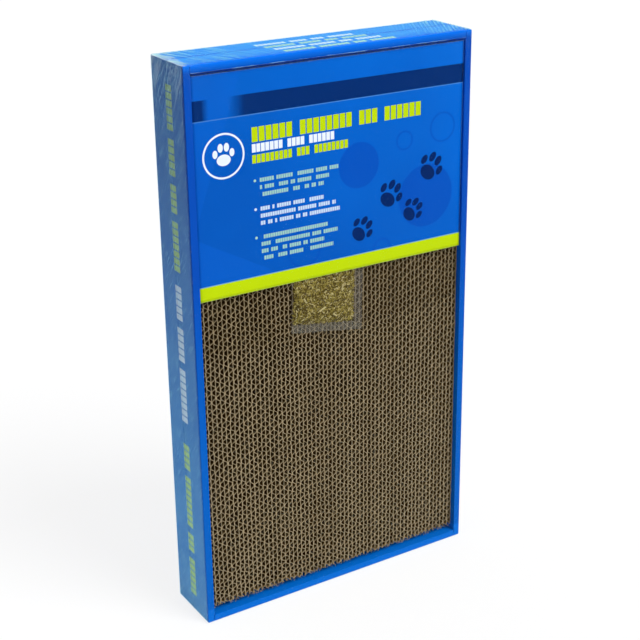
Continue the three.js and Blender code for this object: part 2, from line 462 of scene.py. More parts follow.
from_side = half_width - abs(x)
from_face = half_depth - abs(y)
from_end = within(z, tray_foot, tray_top)
on_side = from_side < 0.3
# painted light: the ledge at the foot end gets a lighter blue, as if lit from above
ledge = (from_end < 12.0) * (z < 100.0) * (1 - on_side)
colour = bench.mix(ledge, colour, LIT_LEDGE_BLUE)
for start, lengths, ink in SIDE_ROWS:
    row = words(z, y, start, -6.0, 4.0, SIDE_LETTER, lengths)
    colour = bench.mix(row * on_side * 0.8, colour, ink)
# painted shade: the long sides darken towards the top
painted_side_shade = on_side * ((z - 90.0) / 380.0).clamp()
colour = bench.mix(painted_side_shade * 0.62, colour, SIDE_SHADE_BLUE)
# painted light: the top face, and a ramp up the top rim, get a lighter blue as if lit from above
on_top = z > tray_top - 0.3
lit_near_top = ((z - tray_top + WALL) / 5.0).clamp() * (1 - on_side)
colour = bench.mix(on_top.most(lit_near_top * 0.8), colour, LIT_TOP_BLUE)
for number, ink in enumerate((WHITE_INK, TOP_GREEN, WHITE_INK, TOP_GREEN)):
    low = 9.0 - TOP_ROW_PITCH * number
    row = words(x, y, -50.0 + 3.0 * number, low, low + 5.8, TOP_LETTER, (7, 4 + number, 3, 6))
    colour = bench.mix(row * on_top, colour, ink)

fold = from_side.most(from_face).least(from_face.most(from_end)).least(from_side.most(from_end))
crack = bench.noise(place, 0.7, 4.0, 0.7)
worn = ((crack - 0.63) * 9.0).clamp() * (1.5 - fold).clamp()
scuff = ((crack - 0.56) * 8.0).clamp() * on_side * ((34.0 - z) / 20.0).clamp()
colour = bench.mix((worn * 0.55).most(scuff * 0.3), colour, PALE_BOARD)
inside_base = (y > half_depth - 2.0) * (from_side > 5.0) * (from_end > 5.0) * (from_face > 0.4)
colour = bench.mix(inside_base, colour, GREY_BOARD)
finish_material(bench, surface(
    bench,
    Base_Color=colour,
    Roughness=fine * 0.15 + 0.42,
    Specular_IOR_Level=0.06,
    Normal=bump(bench, fine + cloud * 2.0, 0.12),
))
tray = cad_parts["tray"]
tray.data.materials.clear()
tray.data.materials.append(material)

# %% [markdown]
# ## Pieces and grids
#
# Sheets of card and film are grids of points. A closed sheet has a front and a back
# grid, and a rim that joins them, so that it exports as a solid.


# %% Make a piece from a mesh, and a closed sheet from a grid
def add_piece(name, mesh, body, nodes=()):
    """Puts a finished mesh in the scene as a piece on a CAD body."""
    piece = new_object(name, mesh)
    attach(piece, body)
    if nodes:
        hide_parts(*nodes)
    triangles = sum(len(face.vertices) - 2 for face in mesh.polygons)
    print(name, len(mesh.vertices), "points,", triangles, "triangles")


def closed_sheet(name, x, z, front_y, back_y, material):
    """A closed sheet over a grid of x and z, between a front and a back depth."""
    grids = [np.stack([x, np.broadcast_to(y, x.shape), z], -1) for y in (front_y, back_y)]
    points = np.concatenate(grids).reshape(-1, 3) * MM
    layer = x.size
    spot = np.arange(layer).reshape(x.shape)
    a, b, c, d = spot[:-1, :-1], spot[:-1, 1:], spot[1:, 1:], spot[1:, :-1]
    faces = [np.stack([a, b, c, d], -1).reshape(-1, 4),
             np.stack([d, c, b, a], -1).reshape(-1, 4) + layer]
    rim = np.concatenate([spot[0, :], spot[1:, -1], spot[-1, -2::-1], spot[-2:0:-1, 0]])
    after = np.roll(rim, -1)
    faces.append(np.stack([after, rim, rim + layer, after + layer], -1))
    mesh = bpy.data.meshes.new(name)
    mesh.from_pydata(points.tolist(), [], np.concatenate(faces).tolist())
    mesh.materials.append(material)
    mesh.shade_smooth()
    return mesh


def ripple(x, z, size, seed):
    """Smooth noise from -1 to 1 over a grid of places, in lumps of the size given."""
    places = zip(x.ravel() / size, z.ravel() / size)
    return np.array([noise.noise(Vector((a, b, seed))) for a, b in places]).reshape(x.shape)


# %% [markdown]
# ## Geometry trees
#
# What repeats hundreds of times is made by Geometry Nodes: the flutes, the loose fibres
# and the flakes of herb. A tree gets named inputs for its sizes, a fixed seed, and a
# material. It ends in real geometry, and its result becomes a plain mesh.


# %% Build a geometry tree and take its result
def new_tree(name, labels):
    """A geometry tree with named inputs, and the wires that bring them in."""
    tree = bpy.data.node_groups.new(name, "GeometryNodeTree")
    kinds = dict.fromkeys(("Seed", "Count", "Steps"), "NodeSocketInt")
    kinds |= {"Geometry": "NodeSocketGeometry", "Material": "NodeSocketMaterial"}
    for label in ("Geometry", *labels, "Seed", "Material"):
        kind = kinds.get(label.split()[-1], "NodeSocketFloat")
        tree.interface.new_socket(label, in_out="INPUT", socket_type=kind)
    tree.interface.new_socket("Geometry", in_out="OUTPUT", socket_type="NodeSocketGeometry")
    entry = tree.nodes.new("NodeGroupInput")
    return Bench(tree), {socket.name: Wire(tree, socket) for socket in entry.outputs if socket.name}


def finish_tree(bench, geometry, material):
    """Ends a tree: instances become real, and the material is set."""
    real = bench.node("GeometryNodeRealizeInstances", {0: geometry})
    finished = bench.node("GeometryNodeSetMaterial", {0: real, "Material": material})
    bench.node("NodeGroupOutput", {0: finished})
    print("the tree for", bench.tree.name, "has", len(bench.tree.nodes), "nodes")
    return bench.tree


def take_result(holder):
    """The plain mesh that an object's modifiers make. The object itself goes."""
    made = holder.evaluated_get(bpy.context.evaluated_depsgraph_get())
    mesh = bpy.data.meshes.new_from_object(made)
    bpy.data.objects.remove(holder)
    return mesh


def run_tree(name, tree, values, carrier=None):
    """Runs a tree on a mesh and returns what it made as a plain mesh."""
    holder = new_object(name, carrier or bpy.data.meshes.new(name))
    modifier = holder.modifiers.new(name, "NODES")
    modifier.node_group = tree
    for item in tree.interface.items_tree:
        if item.in_out == "INPUT" and item.name in values:
            modifier[item.identifier] = values[item.name]
    return take_result(holder)


def join(bench, *parts):
    node = bench.tree.nodes.new("GeometryNodeJoinGeometry")
    for part in parts:
        bench.tree.links.new(part.socket, node.inputs[0])
    return Wire(bench.tree, node.outputs[0])


# %% [markdown]
# ## Kraft board
#
# Corrugated board is brown kraft paper. On the face the saw has cut through the papers,
# and the cut edges are pale and furry. Deeper in the flutes the paper gets painted shade
# that darkens it with depth, less where it faces up, as if lit from above. The cut edges
# get painted light that grows lower down, and a band of painted shade just below the
# card. No two strips have quite the same tone.

# %% Cut kraft board
material, bench, place = new_material("cut kraft board")
x, y, z = bench.split(place)
tone = bench.attribute("tone")
streaks = bench.noise(bench.vector("MULTIPLY", place, (1.2, 1.2, 0.25)), 1.0, 4.0, 0.65)
patches = bench.noise(place, 0.018, 3.0, 0.6)
speck = bench.noise(place, 2.2, 3.0, 0.7)
level = (streaks * 0.8 + tone * 0.5 - 0.1).clamp()
paper = bench.mix(level, screen(100, 80, 48), screen(158, 134, 92))
# painted light: the cut edges lighten lower down, and a band just below the card stays darker as
# painted shade
lit = (260.0 - z) / 260.0 * 0.14 + ((foot - 44.0 - z) / 14.0).clamp() * 0.2
pale = (speck + tone * 0.2 + patches * 0.15 + lit - 0.29).clamp()
cut = bench.mix(pale, screen(136, 117, 83), screen(192, 172, 135))
# painted shade: deep in the flutes the paper darkens with depth, less where it faces up
depth = within(y, pad_front, pad_back)
faces_up = bench.split(bench.node("ShaderNodeNewGeometry", output="Normal"))[2].clamp()
shade = (depth / (faces_up * 1.3 + 1.3)).clamp()
from_ends = within(z, pad_foot, pad_top)
in_flutes = (abs(x) < half_pad - 0.25) * ((from_ends - 1.0) / 4.0).clamp()
inside = bench.mix(shade * in_flutes, paper, screen(84, 64, 34))
colour = bench.mix(((0.75 - depth) / 0.4).clamp(), inside, cut)
finish_material(bench, surface(
    bench,
    Base_Color=colour,
    Roughness=0.92,
    Specular_IOR_Level=0.03,
    Normal=bump(bench, speck + streaks, 0.35, 0.15),
))
kraft = material

# %% [markdown]
# ## The corrugated pad
#
# Each strip is single-wall board: two flat liners with a waving medium between them, and
# the waves run from the face to the back. The strips are the pad's whole look, so they
# are made as real papers and not as a picture of them. One tree makes a run of strips: a
# thin box with many rows for each paper, copied across, bent into its wave, and then
# pushed about near the face, where the saw has crushed it.

# %% The tree that makes a run of strips
bench, given = new_tree("corrugated strips", (
    "Strip Count", "First strip", "Left", "Bottom", "Height", "Front", "Depth",
    "Pitch", "Flute length", "Liner", "Medium", "Glue", "Crush", "Wave Steps", "Liner Steps"))
pitch, front, bottom = given["Pitch"], given["Front"], given["Bottom"]
left, liner, medium = given["Left"], given["Liner"], given["Medium"]
seed, crush, depth = given["Seed"], given["Crush"], given["Depth"]
start = left + given["First strip"] * pitch
middle_z = bottom + given["Height"] / 2
middle_y = front + depth / 2


def paper_row(thickness, offset, steps):
    """One upright paper, copied across the run at the strips' pitch."""
    sheet = bench.node("GeometryNodeMeshCube", {
        "Size": bench.pack(thickness, depth, given["Height"]),
        "Vertices X": 2, "Vertices Y": 3, "Vertices Z": steps})
    line = bench.node("GeometryNodeMeshLine", {
        "Count": given["Strip Count"],
        "Start Location": bench.pack(start + offset, middle_y, middle_z),
        "Offset": bench.pack(pitch),
    })
    return bench.node("GeometryNodeRealizeInstances", {0: bench.copy_to(line, sheet)})


def place_of():
    return bench.split(bench.node("GeometryNodeInputPosition"))


waves = paper_row(medium, pitch / 2, given["Wave Steps"])
x, y, z = place_of()
strip = ((x - left) / pitch).apply("FLOOR")
middle = left + (strip + 0.5) * pitch
side = (x > middle) * 2 - 1
lot = bench.chance(strip, seed, 0.0)
wander = bench.noise(bench.pack(strip * 3.1, z * 22.0, seed), 1.0, 2.0)
flute_length = given["Flute length"] * (lot * 0.03 + 0.985)
turn = ((z - bottom) / flute_length + lot * 7.0 + wander * 1.2) * math.tau
swing = pitch / 2 - liner - medium / 2 - given["Glue"] / 2
slope = turn.apply("COSINE") * swing * math.tau / given["Flute length"]
wave = (turn.apply("SINE") + (turn * 3).apply("SINE") * 0.16) * 1.1
skew = (slope * slope + 1).apply("SQRT")
waved = middle + swing * wave + side * skew * medium / 2
waves = bench.move(waves, bench.pack(waved, y, z))

inset = (liner + given["Glue"]) / 2
liners = join(bench, paper_row(liner, inset, given["Liner Steps"]),
              paper_row(liner, pitch - inset, given["Liner Steps"]))
board = join(bench, waves, liners)

x, y, z = place_of()
strip = ((x - left) / pitch).apply("FLOOR")
depth_share = (y - front) / depth
near = (1 - depth_share) ** 4
crumple = bench.noise(bench.pack(x * 260.0, seed, z * 300.0), 1.0, 3.0, 0.6, output=1)
lean = bench.noise(bench.pack(x * 40.0, 4.0, z * 40.0), 1.0, 2.0, output=1)
push = bench.vector("SUBTRACT", bench.vector("ADD", crumple, lean), (1.0, 1.0, 1.0))
reach = bench.pack(crush * near, crush * 0.6 * near, crush * 0.8 * near)
pushed = bench.vector("MULTIPLY", push, reach)
ends = bench.chance(strip, 7.0, seed) * 0.0009
fade = (1 - (z - bottom) / 0.02).clamp()
stand = (bench.chance(strip, 3.0, seed) - 0.35) * 0.0004 * near
moved = bench.vector("ADD", pushed, bench.pack(0.0, stand, ends * fade))
# the rows of a box stand even: the middle one moves to just behind the face
rows = bench.pack(x, front + depth * depth_share ** 4, z)
board = bench.move(board, rows, moved)
tone = bench.chance(((x - left) / pitch * 2).apply("FLOOR"), 5.0, seed)
strips_tree = finish_tree(bench, bench.store(board, "tone", tone), given["Material"])

# %% Run the tree for four runs of strips
PITCH = 4.0
FLUTE = 7.9
LINER = 0.22
MEDIUM = 0.34
GLUE = 0.02
CRUSH = 1.1
STEPS_IN_A_FLUTE = 12
PAIRS_IN_A_RUN = 8
pad_left = -len(strip_nodes) * PITCH
pad_height = pad_top - pad_foot
flutes = pad_height / FLUTE

for first_pair in range(0, len(strip_nodes), PAIRS_IN_A_RUN):
    nodes = strip_nodes[first_pair:first_pair + PAIRS_IN_A_RUN]
    name = f"strips_{2 * first_pair + 1:02d}_to_{2 * (first_pair + len(nodes)):02d}"
    mesh = run_tree(name, strips_tree, {
        "Strip Count": 2 * len(nodes),
        "First strip": float(2 * first_pair),
        "Left": pad_left * MM,
        "Bottom": pad_foot * MM,
        "Height": (pad_height - 1.6) * MM,
        "Front": pad_front * MM,
        "Depth": (pad_back - pad_front) * MM,
        "Pitch": PITCH * MM,
        "Flute length": FLUTE * MM,
        "Liner": LINER * MM,
        "Medium": MEDIUM * MM,
        "Glue": GLUE * MM,
        "Crush": CRUSH * MM,
        "Wave Steps": round(flutes * STEPS_IN_A_FLUTE) + 1,
        "Liner Steps": round(flutes * 2) + 1,
        "Seed": 3,
        "Material": kraft,
    })
    add_piece(name, mesh, "pad_body", nodes)

# %% [markdown]
# Where the strips were sheared off, at the bottom of the pad, and here and there on the
# face, single fibres of paper stand out. They are thin bent slivers on scattered points.

# %% Frayed fibres
bench, given = new_tree("frayed fibres", (
    "Fibre length", "Fibre Count", "Left", "Right", "Low", "High", "Front"))
length = given["Fibre length"]
line = bench.node("GeometryNodeMeshLine", {
    "Count": given["Fibre Count"], "Offset": (0.0, 0.0, 0.0)})
index = bench.node("GeometryNodeInputIndex")
seed = given["Seed"]
x = given["Left"] + (given["Right"] - given["Left"]) * bench.chance(index, seed, 1.0)
z = given["Low"] + (given["High"] - given["Low"]) * bench.chance(index, seed, 2.0)
y = given["Front"] + bench.chance(index, seed, 3.0) * 0.0006
spots = bench.move(line, bench.pack(x, y, z))
fibre = bench.node("GeometryNodeMeshCube", {
    "Size": bench.pack(length * 0.07, length * 0.05, length),
    "Vertices X": 2, "Vertices Y": 2, "Vertices Z": 6})
x, y, z = place_of()
bend = z * z / length * 0.6
fibre = bench.move(fibre, bench.pack(x + bend, y, z))
turn = bench.pack((bench.chance(index, seed, 4.0) - 0.6) * 0.9,
                  (bench.chance(index, seed, 5.0) - 0.5) * 2.6,
                  bench.chance(index, seed, 6.0) * math.tau)
size = bench.chance(index, seed, 7.0) * 0.9 + 0.3
copies = bench.copy_to(spots, fibre, Rotation=turn, Scale=bench.pack(size, size, size))
copies = bench.store(copies, "tone", bench.chance(index, seed, 8.0), "INSTANCE")
fibres_tree = finish_tree(bench, copies, given["Material"])

FIBRES = (("fibres_at_the_foot", 320, 2.6, pad_foot - 0.6, pad_foot + 2.0, 5),
          ("fibres_on_the_face", 300, 2.2, pad_foot, foot, 9))
for name, count, length, low, high, seed in FIBRES:
    mesh = run_tree(name, fibres_tree, {
        "Fibre Count": count,
        "Fibre length": length * MM,
        "Left": (pad_left + 2) * MM,
        "Right": -(pad_left + 2) * MM,
        "Low": low * MM,
        "High": high * MM,
        "Front": (pad_front - 0.5) * MM,
        "Seed": seed,
        "Material": kraft,
    })
    add_piece(name, mesh, "pad_body")

# %% [markdown]
# ## The header card
#
# A sheet of coated card lies on the pad under the film. It is never quite flat, so the
# sheet gets a slow ripple. Its print has a dark band near the top and a lime stripe along
# the foot. Between them stand a round badge with a paw, rows of words, and paw prints
# that walk up between two faint discs and thin rings.

# %% Card print
CARD_BLUE = screen(0, 87, 184)
CARD_BLUE_LIGHT = screen(0, 108, 214)
FACET_BLUE = screen(12, 102, 216)
FAINT_BLUE = screen(0, 68, 176)
PAW_BLUE = screen(0, 36, 96)
NAVY = screen(0, 44, 108)
MINT = screen(168, 214, 190)
ICE = screen(214, 232, 244)
DISCS = (((88.0, 336.0), 27.0), ((22.0, 372.0), 19.0))
RINGS = (((66.0, 386.0), 7.5), ((104.0, 392.0), 12.0), ((-30.0, 312.0), 15.0), ((44.0, 298.0), 8.0))
PRINTS = (((24.0, 317.0), 12.5, -0.75), ((52.0, 342.0), 13.5, -0.6),
          ((74.0, 325.0), 12.0, -0.85), ((92.0, 359.0), 14.0, -0.65))
BADGE_SPOT = (-99.0, 398.0)
TITLE_LEFT = -75.0
TITLE_ROWS = ((405.0, 416.5, 6.05, (6, 8, 3, 6), LIME), (397.0, 403.5, 3.9, (7, 4, 6), WHITE_INK),
              (388.3, 395.0, 3.95, (9, 3, 8), LIME))
ROW_LEFT = -69.0
ROW_PITCH = 5.8
SMALL_LETTER = 2.1
TEXT_ROWS = ((377.5, 3, MINT, 21.0), (354.5, 3, ICE, 22.0), (331.5, 4, MINT, 23.0))
CARD_EDGE = 130.0

material, bench, place = new_material("printed header card")
x, y, z = bench.split(place)
glow = ((bench.noise(place, 0.01, 2.0) - 0.5) * 1.2 + (z - 300.0) / 260.0 + x * 0.003).clamp()
colour = bench.mix(glow, CARD_BLUE, CARD_BLUE_LIGHT)

facets = edge(240.0 - x * 0.5 - z * 0.9) * 0.35 + edge(z * 0.32 - x * 0.9 - 222.0) * 0.25
colour = bench.mix(facets * 0.8, colour, FACET_BLUE)
discs = reduce(Wire.most, [disc(x, z, spot, radius) for spot, radius in DISCS])
rings = reduce(Wire.most, [circle_line(x, z, spot, radius, 1.6) for spot, radius in RINGS])
colour = bench.mix((discs * 0.55 + rings * 0.45).clamp(), colour, FAINT_BLUE)
prints = reduce(Wire.most, [paw(x, z, spot, size, turn) for spot, size, turn in PRINTS])
colour = bench.mix(prints, colour, PAW_BLUE)

badge = circle_line(x, z, BADGE_SPOT, 17.0, 1.5).most(paw(x, z, BADGE_SPOT, 10.5, 0.0))
colour = bench.mix(badge, colour, WHITE_INK)
for low, high, letter, lengths, ink in TITLE_ROWS:
    row = words(x, z, TITLE_LEFT, low, high, letter, lengths)
    colour = bench.mix(row, colour, ink)

for top, rows, ink, seed in TEXT_ROWS:
    from_top = top - z
    row = (from_top / ROW_PITCH).apply("FLOOR")
    share = (from_top / ROW_PITCH).apply("FRACT")
    length = bench.chance(row, seed, 1.0) * 24.0 + 50.0
    line = bar(x, share * ROW_PITCH, ROW_LEFT, length + ROW_LEFT, 1.3, 4.5)
    line = line * edge(from_top.least(ROW_PITCH * rows - from_top))
    letters = (x - ROW_LEFT) / SMALL_LETTER
    gaps = bench.chance(letters.apply("FLOOR"), row, seed) > 0.16
    line = line * gaps * edge((letters.apply("FRACT") - 0.16) * SMALL_LETTER)
    first = disc(x, z, (ROW_LEFT - 4.0, top - ROW_PITCH / 2), 1.1)
    colour = bench.mix((line * 0.85).most(first), colour, ink)

band_stays = 1 - ((x + 116.0) / 6.0).clamp() * ((-80.0 - x) / 14.0).clamp()
# painted highlights: a thin pale line under the navy band and one over the lime stripe
for low, high, strength, ink in ((427.0, 442.5, band_stays, NAVY),
                                 (426.2, 426.9, 0.35, screen(120, 176, 214)),
                                 (foot - 2.0, foot + 11.6, 1.0, LIME),
                                 (foot + 11.6, foot + 12.3, 0.5, screen(150, 210, 190))):
    stripe = bar(x, z, -CARD_EDGE, CARD_EDGE, low, high)
    colour = bench.mix(stripe * strength, colour, ink)

from_rim = within(x, card_left, card_right).least(within(z, foot, card_top))
wear = bench.noise(place, 0.9, 4.0, 0.7)
worn = ((0.7 - from_rim) / 0.7).clamp() * (wear * 3.0 - 1.2).clamp()
colour = bench.mix(worn * 0.6, colour, PALE_BOARD)
fine = bench.noise(place, 1.5, 3.0)
on_back = bench.split(bench.node("ShaderNodeNewGeometry", output="Normal"))[1] > 0.5
colour = bench.mix(on_back, colour, bench.mix(fine, screen(176, 172, 162), screen(202, 198, 188)))
finish_material(bench, surface(
    bench,
    Base_Color=colour,
    Roughness=fine * 0.12 + 0.4,
    Specular_IOR_Level=0.04,
    Normal=bump(bench, fine, 0.06),
))

# %% Card sheet
columns = np.linspace(card_left, card_right, 84)
grid_x, grid_z = np.meshgrid(columns, np.linspace(foot, card_top, 64))
card_wave = 0.16 * ripple(grid_x, grid_z, 55.0, 2.0) + 0.07 * ripple(grid_x, grid_z, 18.0, 5.0)
mesh = closed_sheet(
    "card_sheet", grid_x, grid_z, card_front + card_wave, card_back + card_wave, material)
add_piece("card_sheet", mesh, "card_body", ("header_card",))

# %% [markdown]
# ## The catnip sachet
#
# Dried catnip lies between two sheets of clear film that are sealed round the edge. The
# herb heaps up above the bottom seal. It is a heap with flakes scattered over it by a
# tree, and the film over it is a closed sheet that follows the heap with small creases.

# %% Sachet outline and heap
SACHET_WIDTH, SACHET_HEIGHT = 68.0, 96.0
SACHET_TILT, SACHET_SKEW = math.radians(-1.5), 9.0
SACHET_X, SACHET_FOOT = -8.5, foot - 50.0
LEFT_FOLD, RIGHT_SEAL, END_SEAL = 1.5, 8.0, 7.5
FULL, LEVEL = 3.0, 1.0
FILM_THICKNESS = 0.12
POCKET_SLACK = 0.15
BACK_FILM = pad_front - 0.4
HERB_BACK = pad_front - 0.6


def sachet_place(u, v):
    """x and z of a place on the sachet, from its shares across and up."""
    x = (u - 0.5) * SACHET_WIDTH
    z = v * SACHET_HEIGHT - SACHET_SKEW * (u - 0.5) * (1 - v)
    c, s = math.cos(SACHET_TILT), math.sin(SACHET_TILT)
    return SACHET_X + x * c - z * s, SACHET_FOOT + x * s + z * c


def ease(share):
    """A rise from 0 to 1 that starts steeply and ends level."""
    return np.sin(math.pi / 2 * np.clip(share, 0, 1))


def herb_height(u, v):
    """How far the herb fills the pocket at a place, in millimetres."""
    from_left = u * SACHET_WIDTH - LEFT_FOLD
    from_right = (1 - u) * SACHET_WIDTH - RIGHT_SEAL
    from_ends = np.minimum(v, 1 - v) * SACHET_HEIGHT - END_SEAL
    inside = np.minimum(np.minimum(from_left, from_right), from_ends)
    across = ease(from_left / 5.0) * ease(from_right / 14.0)
    rise = ease((v * SACHET_HEIGHT - END_SEAL) / 9.0)
    settle = np.clip((v * SACHET_HEIGHT - 26.0) / 18.0, 0, 1)
    height = FULL + (LEVEL - FULL) * settle * settle * (3 - 2 * settle)
    return np.where(inside > 0, POCKET_SLACK + height * across * rise, 0.0)


# %% Dried herb: the finish and the heap
material, bench, place = new_material("dried catnip")
tint = bench.attribute("tint")
speck = bench.noise(place, 1.3, 4.0, 0.7)
level = (tint * 1.1 + speck * 0.4 - 0.25).clamp()
colour = bench.ramp(
    level, (0.0, screen(76, 62, 26)), (0.3, screen(112, 95, 37)), (0.6, screen(148, 133, 57)),
    (0.85, screen(167, 149, 78)), (1.0, screen(200, 186, 130)))
finish_material(bench, surface(
    bench,
    Base_Color=colour,
    Roughness=0.85,
    Specular_IOR_Level=0.1,
    Normal=bump(bench, speck, 0.5, 0.3),
))
herb_material = material

MARGIN = 0.7
first, last = (LEFT_FOLD + MARGIN) / SACHET_WIDTH, 1 - (RIGHT_SEAL + MARGIN) / SACHET_WIDTH
end = (END_SEAL + MARGIN) / SACHET_HEIGHT
across, up = np.meshgrid(np.linspace(first, last, 44), np.linspace(end, 1 - end, 56))
herb_x, herb_z = sachet_place(across, up)
heap = herb_height(across, up) * 0.7
heap = heap + 0.2 * ripple(herb_x, herb_z, 4.0, 8.0) * (heap > 0.3)
heap_front = HERB_BACK - np.maximum(heap, 0.05)
heap_mesh = closed_sheet("catnip_heap", herb_x, herb_z, heap_front, HERB_BACK, herb_material)

# %% Flakes and stems scattered over the heap
STEMS = (((-14.0, HERB_BACK - 2.7, foot - 28.6), 1.15, 1.5),
         ((6.0, HERB_BACK - 1.6, foot - 14.1), 0.2, 1.3),
         ((-30.0, HERB_BACK - 2.1, foot - 18.1), -0.5, 1.1),
         ((-2.0, HERB_BACK - 2.4, foot - 36.1), 2.2, 1.0))
FLAKE_DENSITY = 850000.0
FLAKE_LENGTH = 4.3

bench, given = new_tree("herb flakes", ("Flake density", "Flake length"))
length = given["Flake length"]
faces_out = bench.split(bench.node("GeometryNodeInputNormal"))[1] < -0.3
points = bench.node("GeometryNodeDistributePointsOnFaces", {
    "Mesh": given["Geometry"], "Selection": faces_out,
    "Density": given["Flake density"], "Seed": given["Seed"]})
flake = bench.node("GeometryNodeMeshCube", {
    "Size": bench.pack(length, length * 0.1, length * 0.23),
    "Vertices X": 4, "Vertices Y": 2, "Vertices Z": 2})
x, y, z = place_of()
curl = x * x / length * 0.45
end_share = x / length * 1.7
flake = bench.move(flake, bench.pack(x, y + curl, z * (1 - end_share * end_share)))


def lottery(low, high, seed_step, kind="FLOAT"):
    """A random number, or three, for each point."""
    lowest, output = (0, 0) if kind == "FLOAT_VECTOR" else (2, 1)
    values = {lowest: low, lowest + 1: high, "Seed": given["Seed"] + seed_step}
    return bench.node("FunctionNodeRandomValue", values, output, data_type=kind)


tilt = lottery((-0.5, -3.14, -0.25), (0.5, 3.14, 0.25), 1, "FLOAT_VECTOR")
size = lottery(0.3, 1.15, 2)
copies = bench.copy_to(points, flake, Rotation=tilt, Scale=bench.pack(size, size, size))
copies = bench.store(copies, "tint", lottery(0.0, 1.0, 3), "INSTANCE")
stems = []
for spot, turn, share in STEMS:
    stem = bench.node("GeometryNodeMeshCylinder", {
        "Vertices": 7, "Side Segments": 4, "Radius": length * 0.15, "Depth": length * share,
    }, fill_type="NGON")
    spot = tuple(c * MM for c in spot)
    values = {"Geometry": stem, "Translation": spot, "Rotation": (0.0, turn, 0.0)}
    stems.append(bench.store(bench.node("GeometryNodeTransform", values), "tint", 1.2))
flakes_tree = finish_tree(bench, join(bench, given["Geometry"], copies, *stems), given["Material"])
mesh = run_tree("catnip", flakes_tree, {
    "Flake density": FLAKE_DENSITY,
    "Flake length": FLAKE_LENGTH * MM,
    "Seed": 11,
    "Material": herb_material,
}, heap_mesh)
add_piece("catnip", mesh, "sachet_body", ("catnip_fill",))

# %% [markdown]
# ## Clear film
#
# Clear film is a thin layer that lets most light through and mirrors more of it the
# flatter it is looked at. That is a mix of a transparent and a shiny shader by the angle,
# with Layer Weight. Two attributes on its points say where it wrinkles, and where it
# gathers and so turns milky; along the fold at the top left the milky strip is partly a
# painted highlight. The wrinkle ridges get painted highlights, and on the top the folds
# between them get painted dark streaks. On the long sides a painted sheen grows lower
# down, with a few painted streaks of reflection, and near the front of the top the
# reflection is painted weaker. Over the narrow gap above the card a painted blue
# reflection lifts the shade, with a thin broken painted highlight along the rim.


# %% The finish of a clear film
MIRROR = 0.3
CLEAR = (0.985, 0.99, 1.0, 1.0)
END_TINT = (0.03, 0.82, 1.0, 1.0)
PAINTED_GAP_BLUE = (0.0, 0.08, 1.0, 1.0)


def clear_film(name, milky, crease_size, crease_strength, metallic, tint, gathered, edge_tint):
    """A clear film: how milky it is, its creases, and the tints of its shine."""
    material, bench, place = new_material(name)
    x, y, z = bench.split(place)
    gather = bench.attribute("gather")
    crumple = bench.attribute("crumple")
    slant = bench.vector("MULTIPLY", place, (0.35, 0.5, 0.12))
    crease = bench.noise(slant, crease_size, 3.0, 0.6)
    on_end = z > tray_top
    on_right_end = on_end * (x > 0)
    leaning = x + y * (0.9 - on_right_end * 0.9 - on_end * 0.55)
    close = on_right_end * 0.3 + 0.34
    fan = bench.pack((leaning + z * 0.5) * close, (x * 0.9 - y) * 0.025, (z - y) * 0.025)
    folds = bench.noise(fan, 1.0, 2.0)
    folds = folds + (leaning * 1.8 + folds * 6).apply("SINE") * on_right_end * 0.16
    off_face = ((half_depth + 0.2 - abs(y)) / 2.0).clamp()
    # wrinkle ridges for the bump, which also get painted highlights; on the top the folds between them
    # get painted dark streaks
    ridge_highlight = ((folds - 0.54 + crumple * 0.06) * 9).clamp() * crumple * off_face
    painted_fold_shade = ((0.47 - folds) * 9).clamp() * crumple * on_end
    normal = bump(bench, crease + ridge_highlight * 2.0, crease_strength, 0.6)
    facing = bench.node("ShaderNodeLayerWeight", {"Blend": 0.5, "Normal": normal}, "Facing")
    haze = bench.noise(place, 0.03, 3.0, 0.6)
    # painted sheen on the long sides, stronger lower down, with painted streaks of reflection
    slanted = bench.pack(0.0, (y * 0.8 + z * 0.6) * 0.8, (z * 0.8 - y * 0.6) * 0.06)
    sheen_streak = ((bench.noise(slanted, 1.0, 2.0) - 0.56) * 9).clamp()
    painted_side_sheen = (0.75 - z / 470.0) * (haze * 0.07 + 0.03) + sheen_streak * 0.08
    painted_side_sheen = painted_side_sheen * (abs(x) > half_width + 0.2)
    over_well = (1 - off_face) * (abs(x) < half_width - WALL)
    from_rim = z - tray_top + WALL
    # a painted highlight line along the top rim's inner edge, and a painted blue reflection over the
    # shaded gap below it
    broken = ((bench.noise(place, 0.09, 2.0) - 0.42) * 6).clamp()
    glint = (1 - abs(from_rim - 0.2) / 0.45).clamp() * broken * over_well
    painted_gap_light = (1.3 - abs(from_rim + 0.7)).clamp() * over_well
    # painted: a weaker reflection on the top near its front edge
    sheen_kept = 1 - on_end * (1 - ((y + half_depth) / 16.0).clamp()) * 0.7
    share = facing ** 3.3 * MIRROR * (haze * 0.8 + 0.6) * sheen_kept
    share = share + milky * (haze + 0.5) + painted_side_sheen
    share = share * (1 - painted_fold_shade * 0.3) * (off_face * 0.6 + 0.4)
    share = share + gather * (off_face * 0.4 + 0.1) + ridge_highlight * (on_end * 0.46 + 0.06)
    share = share.most(painted_gap_light * 0.11) + glint * 0.24
    tint = bench.mix(on_end, tint, END_TINT)
    tint = bench.mix((gather * 3 + ridge_highlight * 0.7).clamp(), tint, gathered)
    tint = bench.mix((painted_gap_light * (1 - glint)).clamp(), tint, PAINTED_GAP_BLUE)
    shine = surface(bench, Base_Color=tint, Metallic=metallic, Roughness=0.12,
                    Specular_Tint=edge_tint, Normal=normal)
    clear = bench.node("ShaderNodeBsdfTransparent", {"Color": CLEAR})
    values = {0: share.clamp(), 1: clear, 2: shine}
    finish_material(bench, bench.node("ShaderNodeMixShader", values))
    return material


